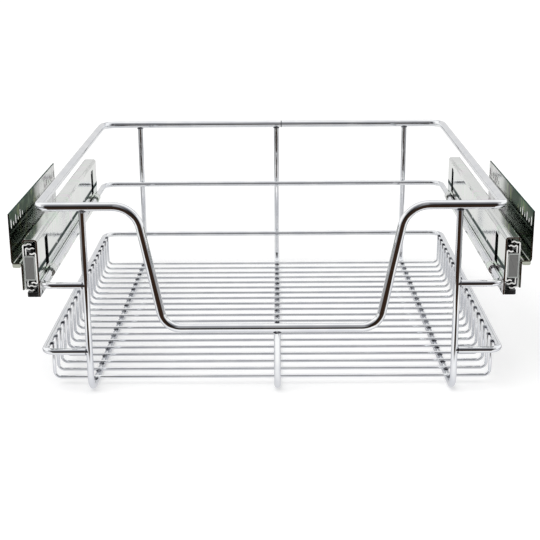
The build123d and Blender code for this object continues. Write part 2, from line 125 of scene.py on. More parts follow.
class Shader:
    """The nodes of a material or of the world, written as expressions."""

    def __init__(self, name: str, world: bool = False) -> None:
        """Start with the output alone.

        Args:
            name: the material's or the world's name.
            world: whether it lights the world.
        """
        self.owner = (bpy.data.worlds if world else bpy.data.materials).new(name)
        self.owner.use_nodes = True
        self.tree = self.owner.node_tree
        self.tree.nodes.clear()
        kind = "ShaderNodeOutputWorld" if world else "ShaderNodeOutputMaterial"
        self.output = self.tree.nodes.new(kind)

    def node(self, kind: str, settings: dict | None = None,
             sockets: dict | None = None) -> list[Value]:
        """Add one node.

        Args:
            kind: the node's type.
            settings: its properties, which are set first. A ramp's stops are given as "stops".
            sockets: values or links by the input's name or number.

        Returns:
            The node's outputs.
        """
        node = self.tree.nodes.new(kind)
        for key, value in (settings or {}).items():
            if key == "stops":
                self._set_stops(node.color_ramp, value)
            else:
                setattr(node, key, value)
        for key, value in (sockets or {}).items():
            if isinstance(value, Value):
                self.tree.links.new(value.socket, node.inputs[key])
            elif isinstance(value, tuple) and len(value) == 3 and node.inputs[key].type == "RGBA":
                node.inputs[key].default_value = (*value, 1.0)
            else:
                node.inputs[key].default_value = value
        return [Value(self, output) for output in node.outputs]

    @staticmethod
    def _set_stops(ramp: bpy.types.ColorRamp, stops: list[tuple[float, Colour]]) -> None:
        """Give a colour ramp its stops.

        Args:
            ramp: the ramp.
            stops: places from nought to one, each with its colour.
        """
        while len(ramp.elements) < len(stops):
            ramp.elements.new(1.0)
        for element, (place, colour) in zip(ramp.elements, stops):
            element.position = place
            element.color = (*colour, 1.0)

    def place(self) -> Value:
        """The point's place on the object, in metres."""
        return self.node("ShaderNodeTexCoord")[3]

    def share(self, value: Value, start: float, end: float) -> Value:
        """Nought at start and one at end, and even between them."""
        return self.node("ShaderNodeMapRange", None, {0: value, 1: start, 2: end})[0]

    def within(self, value: Value, low: float, high: float) -> Value:
        """One where a value is between two limits, and nought elsewhere."""
        return (value > low) * (value < high)

    def larger(self, first: Value, second: Value) -> Value:
        """The larger of two values."""
        return self.node("ShaderNodeMath", {"operation": "MAXIMUM"}, {0: first, 1: second})[0]

    def ray(self, kind: Ray) -> Value:
        """One for rays of a kind, and nought for others."""
        return self.node("ShaderNodeLightPath")[kind.value]

    def axes(self) -> tuple[Value, Value, Value]:
        """The point's X, Y and Z on the object, in metres."""
        parts = self.node("ShaderNodeSeparateXYZ", None, {0: self.place()})
        return parts[0], parts[1], parts[2]

    def grain(self, scale: float | Corner, detail: float = 3.0,
              shift: Corner = (0, 0, 0)) -> Value:
        """Smooth noise.

        Args:
            scale: repeats in each metre, alike on all axes or along X, Y and Z.
            detail: how many finer layers it has.
            shift: moves the pattern, so that two of them differ.

        Returns:
            The noise, from nought to one.
        """
        repeats = scale if isinstance(scale, tuple) else (scale, scale, scale)
        mapped = self.node("ShaderNodeMapping", {"vector_type": "POINT"},
                           {"Vector": self.place(), "Location": shift, "Scale": repeats})[0]
        return self.node("ShaderNodeTexNoise", None,
                         {"Vector": mapped, "Scale": 1.0, "Detail": detail})[0]

    def blend(self, share: Value, first: Colour | Value, second: Colour | Value) -> Value:
        """A colour between two others."""
        return self.node("ShaderNodeMix", {"data_type": "RGBA"}, {0: share, 6: first, 7: second})[2]

    def tints(self, share: Value, stops: list[tuple[float, Colour]]) -> Value:
        """A colour from a ramp."""
        return self.node("ShaderNodeValToRGB", {"stops": stops}, {0: share})[0]

    def bumps(self, height: Value, depth: float) -> Value:
        """A surface relief whose height, from nought to one, is depth metres deep."""
        return self.node("ShaderNodeBump", None, {"Height": height, "Distance": depth})[0]

    def coat(self, **sockets: Value | float | Colour) -> Value:
        """One principled surface, given its inputs with _ in place of spaces."""
        named_sockets = {key.replace("_", " "): value for key, value in sockets.items()}
        return self.node("ShaderNodeBsdfPrincipled", None, named_sockets)[0]

    def finish(self, result: Value) -> bpy.types.Material | bpy.types.World:
        """Link the result to the output, and give what it dresses."""
        self.tree.links.new(result.socket, self.output.inputs["Surface"])
        return self.owner

    def surface(self, **sockets: Value | float | Colour) -> bpy.types.Material:
        """Finish the material with one principled surface."""
        return self.finish(self.coat(**sockets))

    def mixed(self, share: Value, under: Value, over: Value) -> Value:
        """Two surfaces, of which share shows the second."""
        return self.node("ShaderNodeMixShader", None, {0: share, 1: under, 2: over})[0]


# ---- finishes --------------------------------------------------------------------------------
@dataclass(frozen=True)
class BrightChrome:
    """Mirror chrome plate on drawn wire, with faint draw lines and uneven spots."""

    name: str = "bright_chrome"
    pale: Colour = (0.97, 0.98, 0.985)
    cool: Colour = (0.87, 0.885, 0.91)
    smooth: float = 0.02
    rough: float = 0.10
    relief: float = 0.00006

    def material(self) -> bpy.types.Material:
        """The finish as a material.

        Returns:
            The material.
        """
        s = Shader(self.name)
        cloud = s.grain(45, 2.0)
        fine = s.grain(420, 2.0, (3, 1, 4))
        swell = s.grain(75, 1.0, (7, 2, 5))
        return s.surface(
            Metallic=1.0,
            Base_Color=s.blend(cloud.ramp(0.35, 0.7), self.cool, self.pale),
            Roughness=fine.ramp(0.45, 0.8).span(self.smooth, self.rough),
            Normal=s.bumps(swell + fine * 0.12, self.relief))


@dataclass(frozen=True)
class WeldBead:
    """Chrome over a weld's slightly frosted and pitted bead, made dark: partly the bead's own
    darker tone, partly painted shade of the crevices where the wires meet.
    """

    name: str = "weld_bead"
    pale: Colour = (0.42, 0.43, 0.46)
    # both colours are darkened: the bead's own tone, and painted crevice shade
    dull_painted_shade: Colour = (0.05, 0.05, 0.06)
    smooth: float = 0.12
    rough: float = 0.42
    relief: float = 0.0004

    def material(self) -> bpy.types.Material:
        """The finish as a material.

        Returns:
            The material.
        """
        s = Shader(self.name)
        pits = s.grain(900, 3.0)
        cloud = s.grain(260, 2.0, (5, 5, 1))
        return s.surface(
            Metallic=1.0,
            Base_Color=s.blend(cloud.ramp(0.4, 0.65), self.dull_painted_shade, self.pale),
            Roughness=pits.ramp(0.35, 0.7).span(self.smooth, self.rough),
            Normal=s.bumps(pits, self.relief))


# picks out the tabs' slots, which the finishes paint dark as painted shade
def tab_opening(s: Shader, near: float, far: float) -> Value:
    """One on the cut walls of the openings that the tabs left, and nought elsewhere.

    Args:
        s: the shader.
        near: the walls' nearer distance from the basket's middle, in metres.
        far: their farther distance.

    Returns:
        The mask.
    """
    across, along, up = s.axes()
    plate, spare = HookPlate(), 0.1
    half = (plate.slot_width / 2 + spare) * MM
    first, second = ((along - y * MM).absolute() < half for y in plate.tab_places)
    low, high = plate.slot_bottom - spare, plate.slot_bottom + plate.slot_height + spare
    walls = s.within(across.absolute(), near, far) * s.within(up, low * MM, high * MM)
    return walls * (first + second)


@dataclass(frozen=True)
class SatinZinc:
    """Bright zinc plate with rolling lines, soft clouds and faint tints, and painted shade.

    The painted shade is a dark line on the web just above the carrier wire, and dark walls in
    the tabs' slots. The line's four heights are where it starts, is dark, fades and ends.
    Places are in metres.
    """

    name: str = "satin_zinc"
    pale: Colour = (0.95, 0.96, 0.93)
    grey: Colour = (0.84, 0.86, 0.83)
    green: Colour = (0.80, 0.93, 0.80)
    rose: Colour = (0.94, 0.84, 0.90)
    # painted shade for the walls of the tabs' slots
    shade: Colour = (0.010, 0.011, 0.012)
    # painted shade: colour of the dark line just above the carrier wire
    painted_line_shade: Colour = (0.055, 0.075, 0.072)
    painted_line_heights: tuple[float, ...] = (0.1134, 0.1139, 0.1170, 0.1188)
    web: float = 0.2082
    web_walls: tuple[float, float] = (0.20775, 0.2091)
    smooth: float = 0.05
    rough: float = 0.12
    matt: float = 0.7
    relief: float = 0.00003

    def material(self) -> bpy.types.Material:
        """The finish as a material.

        Returns:
            The material.
        """
        s = Shader(self.name)
        across, _, up = s.axes()
        rolled = s.grain((700, 14, 700), 3.0)
        cloud = s.grain((38, 16, 38), 3.0, (2, 9, 4))
        steel = s.blend(cloud.ramp(0.3, 0.7) * 0.8 + rolled * 0.2, self.grey, self.pale)
        tint = s.tints(s.grain((20, 55, 9), 2.0, (1, 5, 2)),
                       [(0.42, self.pale), (0.50, self.green), (0.56, self.pale),
                        (0.62, self.rose), (0.68, self.pale)])
        plate = s.blend(cloud.ramp(0.45, 0.6) * 0.8, steel, tint)
        # painted shade: a dark line along the web, just above the carrier wire
        start, dark_from, dark_to, end = self.painted_line_heights
        line = (up.ramp(start, dark_from) * up.ramp(end, dark_to)
                * (across.absolute() < self.web) * cloud.ramp(0.2, 0.6).span(0.84, 0.99))
        # painted shade: the walls of the tabs' slots
        walls = tab_opening(s, *self.web_walls)
        relief = s.bumps(rolled, self.relief)
        bare = s.coat(Metallic=1.0, Base_Color=plate, Normal=relief,
                      Roughness=cloud.ramp(0.3, 0.75).span(self.smooth, self.rough))
        # one dark matt coat carries both painted shades, the line and the slot walls
        dull_painted_shade = s.coat(Base_Color=s.blend(walls, self.painted_line_shade, self.shade), Roughness=self.matt,
                      Specular_IOR_Level=0.0, Normal=relief)
        return s.finish(s.mixed(s.larger(walls, line), bare, dull_painted_shade))


@dataclass(frozen=True)
class TintedZinc:
    """Bright passivated zinc, mirror-like, with oily tints, and a painted reflection in its colour.

    The colour is dark in front, paler low down in front, and pale behind, as painted
    reflection. The front openings' walls are pale as painted light, and the shelf's lip is
    paler. Places are in metres.
    """

    name: str = "tinted_zinc"
    # dark, grey, low and light: colours of a painted reflection, dark in front, paler low down,
    # pale behind
    dark: Colour = (0.060, 0.080, 0.070)
    grey: Colour = (0.19, 0.215, 0.19)
    low: Colour = (0.58, 0.61, 0.57)
    light: Colour = (0.90, 0.90, 0.89)
    green: Colour = (0.27, 0.43, 0.26)
    rose: Colour = (0.52, 0.36, 0.46)
    straw: Colour = (0.62, 0.60, 0.34)
    edge: Colour = (0.05, 0.11, 0.10)
    # painted light on the front openings' walls
    painted_wall_light: Colour = (0.95, 0.95, 0.94)
    lip: Colour = (0.42, 0.44, 0.37)
    glance: Colour = (0.44, 0.48, 0.44)
    low_heights: tuple[float, float] = (0.146, 0.136)
    painted_reflection_along: tuple[float, float] = (-0.070, -0.020)
    edge_above: float = 0.1672
    opening_across: tuple[float, float] = (0.23095, 0.23192)
    opening_along: tuple[float, float] = (-0.1938, -0.08)
    opening_heights: tuple[float, float] = (0.136, 0.1668)
    lip_beyond: float = 0.2235
    lip_before: float = -0.1926
    lip_below: float = 0.1214
    smooth: float = 0.05
    rough: float = 0.11
    painted_wall_rough: float = 0.3
    relief: float = 0.00002

    def material(self) -> bpy.types.Material:
        """The finish as a material.

        Returns:
            The material.
        """
        s = Shader(self.name)
        across, along, up = s.axes()
        cloud = s.grain((24, 34, 30), 3.0)
        streak = s.grain((20, 75, 16), 2.0, (8, 3, 6))
        # painted reflection: the front is dark, and paler low down
        plain = s.blend(cloud.ramp(0.42, 0.58), self.dark, self.grey)
        plain = s.blend(up.ramp(*self.low_heights), plain, self.low)
        tint = s.tints(streak, [(0.38, self.grey), (0.44, self.green), (0.50, self.straw),
                                (0.56, self.grey), (0.62, self.rose), (0.70, self.grey)])
        patch = s.grain((30, 42, 40), 2.0, (5, 1, 9)).ramp(0.50, 0.64)
        front = s.blend(patch * 0.8, plain, tint)
        # painted reflection: pale behind
        painted_pale_rear = s.blend(streak.ramp(0.5, 0.62) * 0.4, self.light, tint)
        # where the painted dark front gives way to the painted pale back
        painted_reflection_fade = (along + cloud * 0.05).ramp(*self.painted_reflection_along)
        edge = up > self.edge_above
        # painted light: the front openings' walls are made pale, those further back are not
        walls = (s.within(across.absolute(), *self.opening_across)
                 * s.within(up, *self.opening_heights) * s.within(along, *self.opening_along))
        lip = ((along < self.lip_before) * (up < self.lip_below)
               * (across.absolute() > self.lip_beyond))
        pale = s.larger(walls, lip)
        relief = s.bumps(s.grain((700, 14, 700), 3.0), self.relief)
        gloss = cloud.ramp(0.35, 0.7).span(self.smooth, self.rough)
        dark = s.coat(Metallic=1.0, Base_Color=s.blend(edge, front, self.edge), Roughness=gloss,
                      Specular_Tint=self.glance, Normal=relief)
        light = s.coat(Metallic=1.0 - pale, Roughness=gloss + pale * self.painted_wall_rough,
                       Base_Color=s.blend(lip, s.blend(walls, painted_pale_rear, self.painted_wall_light), self.lip),
                       Normal=relief)
        return s.finish(s.mixed(s.larger(pale, painted_reflection_fade * (1.0 - edge)), dark, light))


@dataclass(frozen=True)
class RunnerSteel:
    """Zinc-plated cold-rolled steel, drawn through rollers, with pale sheared front ends.

    The drawer member's web is painted black behind the tabs' slots, as painted shade.
    Places are in metres.
    """

    name: str = "runner_steel"
    pale: Colour = (0.84, 0.85, 0.85)
    grey: Colour = (0.66, 0.68, 0.69)
    sheared: Colour = (0.86, 0.86, 0.84)
    # painted shade behind the tabs' slots
    shade: Colour = (0.01, 0.01, 0.01)
    smooth: float = 0.14
    rough: float = 0.26
    sheared_rough: float = 0.3
    relief: float = 0.00003
    ends: tuple[float, float] = (FRONT * MM, (FRONT + 3.0) * MM)
    end_depth: float = 0.00004
    web_walls: tuple[float, float] = (0.2090, 0.2112)

    def material(self) -> bpy.types.Material:
        """The finish as a material.

        Returns:
            The material.
        """
        s = Shader(self.name)
        rolled = s.grain((900, 6, 900), 3.0)
        cloud = s.grain((60, 25, 60), 2.0, (4, 4, 9))
        along = s.axes()[1]
        first, second = ((along - end).absolute() < self.end_depth for end in self.ends)
        end = first + second
        # painted shade: black where the tabs' slots open onto the drawer member's web
        walls = tab_opening(s, *self.web_walls)
        steel = s.blend(rolled.ramp(0.3, 0.7) * 0.5 + cloud * 0.5, self.grey, self.pale)
        gloss = cloud.ramp(0.3, 0.7).span(self.smooth, self.rough)
        return s.surface(
            Metallic=1.0 - end * (1.0 - walls),
            Base_Color=s.blend(walls, s.blend(end, steel, self.sheared), self.shade),
            Roughness=gloss + end * self.sheared_rough,
            Normal=s.bumps(rolled, self.relief))


@dataclass(frozen=True)
class BearingSteel:
    """Polished bearing steel with a greasy film."""

    name: str = "bearing_steel"
    clean: Colour = (0.83, 0.83, 0.85)
    greasy: Colour = (0.60, 0.56, 0.48)
    smooth: float = 0.05
    rough: float = 0.25

    def material(self) -> bpy.types.Material:
        """The finish as a material.

        Returns:
            The material.
        """
        s = Shader(self.name)
        film = s.grain(500, 2.0).ramp(0.45, 0.7)
        return s.surface(Metallic=1.0, Base_Color=s.blend(film, self.clean, self.greasy),
                         Roughness=film.span(self.smooth, self.rough))


@dataclass(frozen=True)
class BlackMoulding:
    """Black moulded plastic with a fine spark-eroded grain."""

    name: str = "black_moulding"
    dark: Colour = (0.006, 0.006, 0.006)
    light: Colour = (0.016, 0.016, 0.016)
    smooth: float = 0.18
    rough: float = 0.36
    relief: float = 0.00004

    def material(self) -> bpy.types.Material:
        """The finish as a material.

        Returns:
            The material.
        """
        s = Shader(self.name)
        cloud = s.grain(140, 2.0)
        spark = s.grain(2600, 2.0, (1, 6, 2))
        return s.surface(
            Base_Color=s.blend(cloud.ramp(0.35, 0.7), self.dark, self.light),
            Roughness=spark.ramp(0.3, 0.7).span(self.smooth, self.rough),
            Normal=s.bumps(spark, self.relief))


@dataclass(frozen=True)
class BufferMoulding:
    """Grey moulded plastic whose raised frame is paler than its sunk panel, unevenly."""

    name: str = "grey_moulding"
    panel: Colour = (0.165, 0.165, 0.16)
    rim: Colour = (0.37, 0.39, 0.375)
    sunk_from: float = (FRONT + 0.15) * MM
    sunk_over: float = 0.0001
    smooth: float = 0.38
    rough: float = 0.53
    relief: float = 0.00004

    def material(self) -> bpy.types.Material:
        """The finish as a material.

        Returns:
            The material.
        """
        s = Shader(self.name)
        spark = s.grain(2400, 2.0)
        cloud = s.grain(190, 2.0, (2, 2, 7))
        raised = 1.0 - s.axes()[1].ramp(self.sunk_from, self.sunk_from + self.sunk_over)
        frame_pale_share = raised * cloud.ramp(0.2, 0.6).span(0.65, 1.0)
        return s.surface(
            Base_Color=s.blend(frame_pale_share, self.panel, self.rim),
            Roughness=spark.ramp(0.3, 0.7).span(self.smooth, self.rough),
            Normal=s.bumps(spark, self.relief))


class Finish(Enum):
    """The finishes that a piece can have, each with the record's slot that it belongs to."""

    CHROME = "chrome_wire"
    WELD = "chrome_weld"
    ZINC = "zinc_plate"
    RUNNER = "slide_steel"
    BRACKET = "bracket_steel"
    BALL = "ball_steel"
    BLACK = "black_plastic"
    GREY = "grey_plastic"

    @property
    def slot(self) -> str:
        """The record's material slot."""
        return "chrome_wire" if self is Finish.WELD else self.value


# ---- modelling steps -------------------------------------------------------------------------
@dataclass(frozen=True)
class Straight:
    """A straight run of a path."""

    shift: Vector


@dataclass(frozen=True)
class Turn:
    """A bend of a path, right-handed about its axis."""

    centre: Vector
    axis: Vector
    angle: float


def path_steps(corners: list[Corner], bends: list[float]) -> Iterator[Straight | Turn]:
    """Divide a path into its straight runs and bends.

    Args:
        corners: the corner points, in millimetres.
        bends: the radius at each inner corner, in millimetres.

    Returns:
        The runs and bends, in order.
    """
    points = [Vector(corner) * MM for corner in corners]
    here = points[0]
    for before, corner, after, bend in zip(points, points[1:], points[2:], bends):
        ahead, out = (corner - before).normalized(), (after - corner).normalized()
        angle = ahead.angle(out)
        axis = ahead.cross(out).normalized()
        reach = bend * MM * tan(angle / 2)
        entry = corner - ahead * reach
        yield Straight(entry - here)
        yield Turn(entry + axis.cross(ahead) * bend * MM, axis, angle)
        here = corner + out * reach
    yield Straight(points[-1] - here)


def follow(corners: list[Corner], bends: list[float], steps: int) -> None:
    """Extrude and spin what is selected along a path.

    Args:
        corners: the path's corner points, in millimetres.
        bends: the radius at each inner corner.
        steps: how many facets a quarter bend has.
    """
    for step in path_steps(corners, bends):
        if isinstance(step, Straight):
            if step.shift.length > TINY:
                bpy.ops.mesh.extrude_region_move(TRANSFORM_OT_translate={"value": step.shift})
        else:
            count = max(2, round(steps * step.angle / (pi / 2)))
            bpy.ops.mesh.spin(steps=count, angle=step.angle, center=step.centre, axis=-step.axis)


def named(piece: bpy.types.Object, name: str) -> bpy.types.Object:
    """Name a piece and its mesh.

    Args:
        piece: the piece.
        name: its new name.

    Returns:
        The piece.
    """
    piece.name = name
    piece.data.name = name
    return piece


def begin(name: str, add: Callable[..., set], **settings: object) -> bpy.types.Object:
    """Add a primitive at its size and place, with its object at the origin.

    Args:
        name: the new piece's name.
        add: the primitive's operator.
        settings: the operator's settings.

    Returns:
        The new piece, which is the active object.
    """
    bpy.ops.object.select_all(action="DESELECT")
    add(**settings)
    piece = named(bpy.context.object, name)
    bpy.ops.object.transform_apply(location=True, rotation=True, scale=True)
    return piece


def only(piece: bpy.types.Object) -> None:
    """Select one piece alone, and make it active.

    Args:
        piece: the piece.
    """
    bpy.ops.object.select_all(action="DESELECT")
    piece.select_set(True)
    bpy.context.view_layer.objects.active = piece


@contextmanager
def editing(piece: bpy.types.Object) -> Iterator[None]:
    """Edit mode on one piece.

    Args:
        piece: the piece.
    """
    only(piece)
    bpy.ops.object.mode_set(mode="EDIT")
    yield
    bpy.ops.object.mode_set(mode="OBJECT")


def block(name: str, low: Corner, high: Corner) -> bpy.types.Object:
    """A cube that is resized to fill the room between two corners, in millimetres.

    Args:
        name: the block's name.
        low: its lowest corner.
        high: its highest corner.

    Returns:
        The block.
    """
    size = Vector(high) - Vector(low)
    middle = (Vector(low) + Vector(high)) / 2 * MM
    piece = begin(name, bpy.ops.mesh.primitive_cube_add, size=MM, location=middle)
    with editing(piece):
        bpy.ops.transform.resize(value=size, center_override=middle)
    return piece


def pick_edges(piece: bpy.types.Object, test: Callable[[Vector, Vector], bool]) -> None:
    """Select, in edit mode, the edges whose two ends pass a test.

    Args:
        piece: the piece.
        test: tells by an edge's two ends whether it is picked.
    """
    bpy.ops.mesh.select_mode(type="EDGE")
    bpy.ops.mesh.select_all(action="DESELECT")
    mesh = bmesh.from_edit_mesh(piece.data)
    for edge in mesh.edges:
        edge.select_set(test(edge.verts[0].co, edge.verts[1].co))
    bmesh.update_edit_mesh(piece.data)


def pick_faces(piece: bpy.types.Object, test: Callable[[Vector, Vector], bool]) -> None:
    """Select, in edit mode, the faces whose middle and normal pass a test.

    Args:
        piece: the piece.
        test: tells by a face's middle and normal whether it is picked.
    """
    bpy.ops.mesh.select_mode(type="FACE")
    bpy.ops.mesh.select_all(action="DESELECT")
    mesh = bmesh.from_edit_mesh(piece.data)
    for face in mesh.faces:
        face.select_set(test(face.calc_center_median(), face.normal))
    bmesh.update_edit_mesh(piece.data)


def close_and_turn_out() -> None:
    """Merge doubled points and point the faces outwards, in edit mode."""
    bpy.ops.mesh.select_all(action="SELECT")
    bpy.ops.mesh.remove_doubles(threshold=2 * TINY)
    bpy.ops.mesh.normals_make_consistent(inside=False)


def modify(piece: bpy.types.Object, kind: str, **settings: object) -> None:
    """Add a modifier and apply it.

    Args:
        piece: the piece that it changes.
        kind: the modifier's type.
        settings: the modifier's own settings.
    """
    only(piece)
    modifier = piece.modifiers.new(kind.title(), kind)
    for key, value in settings.items():
        setattr(modifier, key, value)
    bpy.ops.object.modifier_apply(modifier=modifier.name)


def smooth(piece: bpy.types.Object, degrees: float = 35.0) -> None:
    """Shade a piece smooth, with its sharper edges kept."""
    only(piece)
    bpy.ops.object.shade_smooth_by_angle(angle=radians(degrees))


def copied(piece: bpy.types.Object, name: str, change: Matrix) -> bpy.types.Object:
    """A copy of a piece with its own mesh.

    Args:
        piece: the piece to copy.
        name: the copy's name.
        change: how the copy's mesh is moved or mirrored.

    Returns:
        The copy.
    """
    twin = piece.copy()
    twin.data = piece.data.copy()
    named(twin, name)
    bpy.context.scene.collection.objects.link(twin)
    twin.data.transform(change)
    if change.determinant() < 0:
        twin.data.flip_normals()
    return twin


def joined(pieces: list[bpy.types.Object], name: str) -> bpy.types.Object:
    """Several pieces made one.

    Args:
        pieces: the pieces.
        name: the joined piece's name.

    Returns:
        The joined piece.
    """
    only(pieces[0])
    for piece in pieces[1:]:
        piece.select_set(True)
    bpy.ops.object.join()
    return named(pieces[0], name)


def mirrored(piece: bpy.types.Object, name: str) -> bpy.types.Object:
    """The left-hand twin of a right-hand piece."""
    return copied(piece, name, Matrix.Scale(-1, 4, Vector((1, 0, 0))))


def wire(name: str, diameter: float, corners: list[Corner], bends: list[float], sides: int = 20,
         steps: int = 8, closed: bool = False, tip: float = 0.0) -> bpy.types.Object:
    """A round wire, made from a circle that is extruded and spun along its path.

    Args:
        name: the piece's name.
        diameter: the wire's diameter, in millimetres.
        corners: the path's corner points, in millimetres.
        bends: the radius at each inner corner.
        sides: how many facets there are round the wire.
        steps: how many facets a quarter bend has.
        closed: whether the last corner meets the first.
        tip: how far the cut ends are rounded.

    Returns:
        The finished wire.
    """
    start, second = Vector(corners[0]), Vector(corners[1])
    turned = (second - start).to_track_quat("Z", "Y").to_euler()
    piece = begin(name, bpy.ops.mesh.primitive_circle_add, vertices=sides, radius=diameter / 2 * MM,
                  fill_type="NOTHING" if closed else "NGON", location=start * MM, rotation=turned)
    with editing(piece):
        follow(corners, bends, steps)
        close_and_turn_out()
        if tip:
            ends = [Vector(corner) * MM for corner in (corners[0], corners[-1])]
            reach = diameter * 0.51 * MM
            pick_edges(piece, lambda a, b: any((a - e).length < reach and (b - e).length < reach
                                               for e in ends))
            bpy.ops.mesh.bevel(offset=tip * MM, segments=3, affect="EDGES")
    smooth(piece)
    return piece


def sheet(name: str, corners: list[tuple[float, float]], bends: list[float], thickness: float,
          front: float, back: float) -> bpy.types.Object:
    """A bent sheet, made from a narrow plane whose edge is extruded and spun along its section.

    Args:
        name: the piece's name.
        corners: X and Z of the section's middle line, in millimetres.
        bends: the radius of the middle line at each inner corner.
        thickness: the sheet's thickness.
        front: Y of the front edge.
        back: Y of the back edge.

    Returns:
        The sheet, still without its openings and rounded edges.
    """
    path = [(x, front, z) for x, z in corners]
    first, second = Vector(path[0]), Vector(path[1])
    lead = first + (second - first).normalized()
    upright = abs(second.z - first.z) > abs(second.x - first.x)
    middle = (first + lead) / 2 + Vector((0, (back - front) / 2, 0))
    piece = begin(name, bpy.ops.mesh.primitive_plane_add, size=MM, location=middle * MM,
                  rotation=(0, pi / 2 if upright else 0, 0))
    with editing(piece):
        bpy.ops.mesh.select_all(action="SELECT")
        bpy.ops.transform.resize(value=(1, back - front, 1), center_override=middle * MM)
        pick_edges(piece, lambda a, b: (a.xz - lead.xz * MM).length < TINY
                   and (b.xz - lead.xz * MM).length < TINY)
        follow([tuple(lead)] + path[1:], bends, steps=6)
        close_and_turn_out()
    modify(piece, "SOLIDIFY", thickness=thickness * MM, offset=0.0, use_even_offset=True)
    return piece


def slot_cutter(place: Corner, length: float, width: float, depth: float) -> bpy.types.Object:
    """A round or upright slot-shaped bar along X, which cuts an opening.

    Args:
        place: the opening's middle, in millimetres.
        length: its length over the round ends.
        width: its width.
        depth: the bar's length.

    Returns:
        The bar.
    """
    bar = begin("cutter", bpy.ops.mesh.primitive_cylinder_add, vertices=20, radius=width / 2 * MM,
                depth=depth * MM, location=Vector(place) * MM, rotation=(0, pi / 2, 0))
    stretch = (length - width) * MM
    if stretch > 0:
        with editing(bar):
            pick_faces(bar, lambda middle, normal: middle.z > place[2] * MM + TINY)
            bpy.ops.transform.translate(value=(0, 0, stretch))
            bpy.ops.mesh.select_all(action="SELECT")
            bpy.ops.transform.translate(value=(0, 0, -stretch / 2))
    return bar


def cut(piece: bpy.types.Object, cutters: list[bpy.types.Object]) -> None:
    """Cut openings into a piece, and remove the bars that cut them.

    Args:
        piece: the piece.
        cutters: the bars.
    """
    bars = joined(cutters, "cutters")
    modify(piece, "BOOLEAN", object=bars, operation="DIFFERENCE", solver="EXACT")
    bpy.data.objects.remove(bars)


def rounded(piece: bpy.types.Object, width: float) -> bpy.types.Object:
    """Round a piece's sharp edges and shade it, with its flat faces left flat.

    Args:
        piece: the piece.
        width: how far its edges are rounded, in millimetres.

    Returns:
        The piece.
    """
    modify(piece, "BEVEL", width=width * MM, segments=2, limit_method="ANGLE",
           angle_limit=radians(40), use_clamp_overlap=True)
    smooth(piece)
    with editing(piece):
        pick_faces(piece, lambda middle, normal: max(abs(value) for value in normal) > 0.9999)
        bpy.ops.mesh.faces_shade_flat()
    return piece


# ---- the basket's parts ----------------------------------------------------------------------
@dataclass
class Workshop:
    """What every part is dressed with: one material for each finish."""

    materials: dict[Finish, bpy.types.Material] = field(init=False)

    def __post_init__(self) -> None:
        """Make the materials."""
        chosen = {Finish.CHROME: BrightChrome(), Finish.WELD: WeldBead(), Finish.ZINC: SatinZinc(),
                  Finish.RUNNER: RunnerSteel(), Finish.BRACKET: TintedZinc(),
                  Finish.BALL: BearingSteel(), Finish.BLACK: BlackMoulding(),
                  Finish.GREY: BufferMoulding()}
        self.materials = {finish: maker.material() for finish, maker in chosen.items()}

    def mount(self, piece: bpy.types.Object, finish: Finish, body: str, *nodes: str) -> None:
        """Dress a new piece and put it on its body.

        Args:
            piece: the finished piece.
            finish: its finish.
            body: the body that it moves with.
            nodes: the plain solids that it stands for.
        """
        piece.data.materials.clear()
        piece.data.materials.append(self.materials[finish])
        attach(piece, body)
        finish.slot
        if nodes:
            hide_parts(*nodes)
        LOG.info("%s: %d faces", piece.name, len(piece.data.polygons))

    def mount_pair(self, right: bpy.types.Object, finish: Finish, body: str, node: str) -> None:
        """Mount a right-hand piece and its left-hand twin.

        Args:
            right: the right-hand piece, whose name ends in _right.
            finish: their finish.
            body: the body that they move with.
            node: the name of the solids that they stand for, without the side.
        """
        left = mirrored(right, right.name.replace("_right", "_left"))
        self.mount(right, finish, body, f"{node}_right")
        self.mount(left, finish, body, f"{node}_left")

    def dress_node(self, node: str, finish: Finish) -> None:
        """Give a carried-over solid its finish, in the material slots that it has."""
        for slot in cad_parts[node].material_slots:
            slot.material = self.materials[finish]


